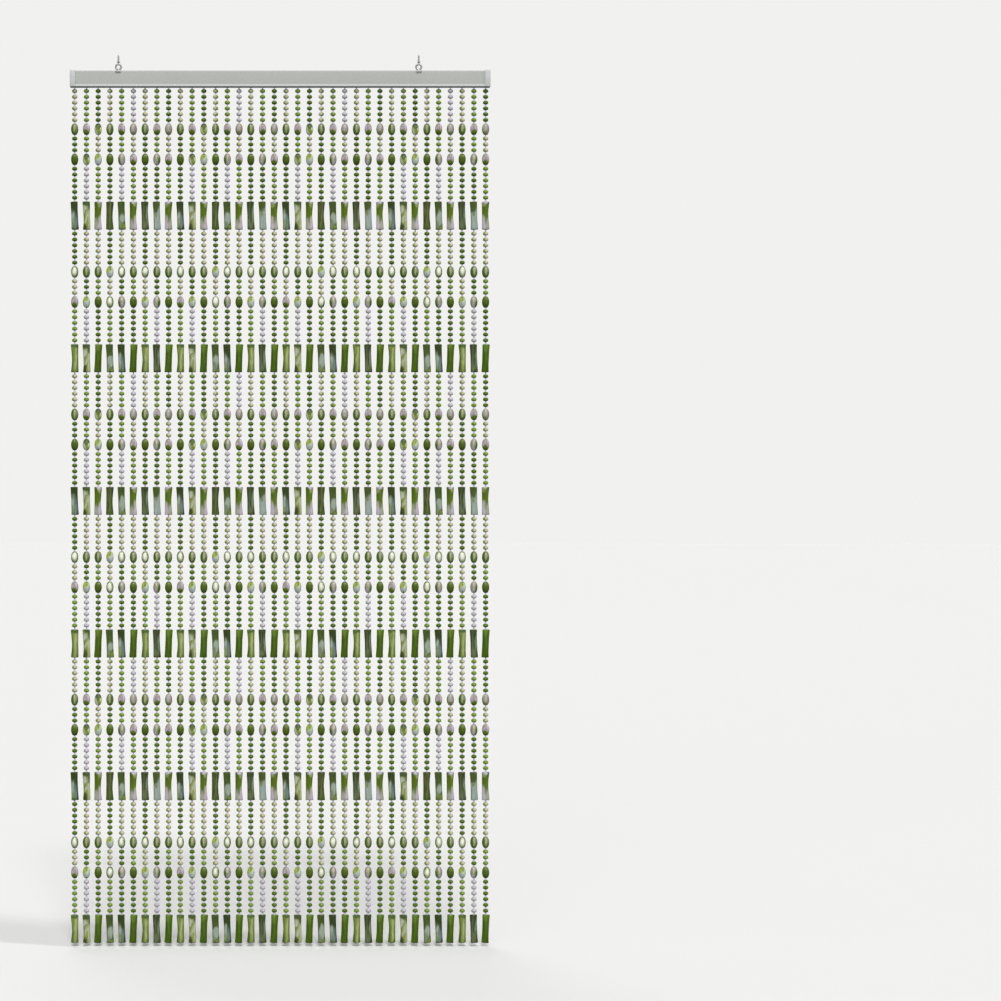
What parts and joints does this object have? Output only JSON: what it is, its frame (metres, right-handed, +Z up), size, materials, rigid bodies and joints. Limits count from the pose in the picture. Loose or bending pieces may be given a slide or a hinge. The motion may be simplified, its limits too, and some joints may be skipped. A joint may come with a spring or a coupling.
{
  "type": "bead curtain with hanging rail and screw eyes",
  "caption": "Doorway bead curtain: strings of small round, oval and long twisted beads under a slim head rail that hangs from screw eyes.",
  "frame": {"origin": "on the underside of the lintel that holds the screw eyes, midway across the curtain's width, on the rail's centre line", "axes": "+X across the doorway to the right as seen from the front, +Y towards the back (the front faces -Y), +Z up"},
  "size_m": [0.93, 0.0286, 1.9668],
  "materials": {
    "rail_paint": "satin light grey powder coat",
    "cap_plastic": "satin moulded, a little lighter than the rail",
    "zinc_steel": "dull zinc plate",
    "bead_acrylic": "glossy marbled green, pearl and lilac"
  },
  "bodies": {
    "root": {"head_rail": "rail_paint", "end_cap_left": "cap_plastic", "end_cap_right": "cap_plastic", "screw_eye_left": "zinc_steel", "screw_eye_right": "zinc_steel", "saddle_clip_left": "zinc_steel", "saddle_clip_right": "zinc_steel", "bead_strands_left": "bead_acrylic", "bead_strands_right": "bead_acrylic"}
  },
  "joints": []
}
